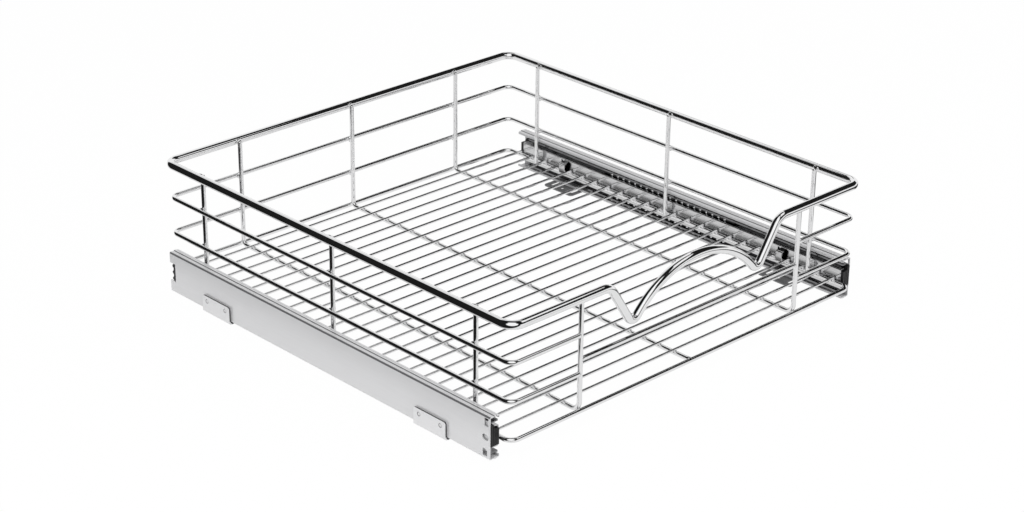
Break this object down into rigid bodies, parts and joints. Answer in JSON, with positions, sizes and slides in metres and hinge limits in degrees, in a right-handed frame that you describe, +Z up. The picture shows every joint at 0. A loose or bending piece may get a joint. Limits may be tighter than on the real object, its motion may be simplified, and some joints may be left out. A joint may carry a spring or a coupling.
{
  "type": "pull out cabinet basket",
  "caption": "Pull out wire basket for a cabinet, with a hand grip arch in its rim, on full extension ball slides with screw down brackets.",
  "frame": {"origin": "On the surface that the four bracket feet stand on, under the middle of the top rim.", "axes": "+X is to the right seen from the front, +Y is to the rear, +Z is up. The basket pulls out along -Y."},
  "size_m": [0.5322, 0.54, 0.1469],
  "materials": {
    "chrome_wire": "bright chrome plate on drawn steel wire",
    "zinc_steel": "satin zinc plate on cold rolled strip",
    "bracket_steel": "satin zinc plate on pressed sheet",
    "bright_steel": "bright nickel plate on cold rolled strip",
    "ball_steel": "polished bearing steel",
    "cage_plastic": "moulded black nylon",
    "black_plastic": "moulded black rubbery plastic"
  },
  "bodies": {
    "root": {"left_outer_member": "zinc_steel", "right_outer_member": "zinc_steel", "left_front_bracket": "bracket_steel", "left_rear_bracket": "bracket_steel", "right_front_bracket": "bracket_steel", "right_rear_bracket": "bracket_steel", "bracket_rivets": "ball_steel", "left_rear_bumper": "black_plastic", "right_rear_bumper": "black_plastic"},
    "drawer": {"left_inner_member": "bright_steel", "right_inner_member": "bright_steel", "top_rim": "chrome_wire", "upper_side_wire": "chrome_wire", "lower_side_wire": "chrome_wire", "bottom_frame_wire": "chrome_wire", "left_runner_wire": "chrome_wire", "middle_runner_wire": "chrome_wire", "right_runner_wire": "chrome_wire", "front_bar": "chrome_wire", "left_side_uprights": "chrome_wire", "right_side_uprights": "chrome_wire", "floor_cross_wires": "chrome_wire"},
    "left_outer_cage_set": {"left_outer_cage": "cage_plastic", "left_outer_balls": "ball_steel"},
    "left_mid_slide": {"left_mid_member": "bright_steel", "left_front_bumper": "black_plastic"},
    "left_inner_cage_set": {"left_inner_cage": "cage_plastic", "left_inner_balls": "ball_steel"},
    "right_outer_cage_set": {"right_outer_cage": "cage_plastic", "right_outer_balls": "ball_steel"},
    "right_mid_slide": {"right_mid_member": "bright_steel", "right_front_bumper": "black_plastic"},
    "right_inner_cage_set": {"right_inner_cage": "cage_plastic", "right_inner_balls": "ball_steel"}
  },
  "joints": [
    {"name": "drawer_slide", "type": "slide", "parent": "root", "child": "drawer", "axis": [0, -1, 0], "range_m": [0, 0.5]},
    {"name": "left_outer_cage_set_travel", "type": "slide", "parent": "root", "child": "left_outer_cage_set", "axis": [0, -1, 0], "range_m": [0, 0.125]},
    {"name": "left_mid_slide_travel", "type": "slide", "parent": "root", "child": "left_mid_slide", "axis": [0, -1, 0], "range_m": [0, 0.25]},
    {"name": "left_inner_cage_set_travel", "type": "slide", "parent": "root", "child": "left_inner_cage_set", "axis": [0, -1, 0], "range_m": [0, 0.375]},
    {"name": "right_outer_cage_set_travel", "type": "slide", "parent": "root", "child": "right_outer_cage_set", "axis": [0, -1, 0], "range_m": [0, 0.125]},
    {"name": "right_mid_slide_travel", "type": "slide", "parent": "root", "child": "right_mid_slide", "axis": [0, -1, 0], "range_m": [0, 0.25]},
    {"name": "right_inner_cage_set_travel", "type": "slide", "parent": "root", "child": "right_inner_cage_set", "axis": [0, -1, 0], "range_m": [0, 0.375]}
  ],
  "couplings": [
    {"joint": "left_outer_cage_set_travel", "follows": "drawer_slide", "ratio": 0.25},
    {"joint": "left_mid_slide_travel", "follows": "drawer_slide", "ratio": 0.5},
    {"joint": "left_inner_cage_set_travel", "follows": "drawer_slide", "ratio": 0.75},
    {"joint": "right_outer_cage_set_travel", "follows": "drawer_slide", "ratio": 0.25},
    {"joint": "right_mid_slide_travel", "follows": "drawer_slide", "ratio": 0.5},
    {"joint": "right_inner_cage_set_travel", "follows": "drawer_slide", "ratio": 0.75}
  ]
}
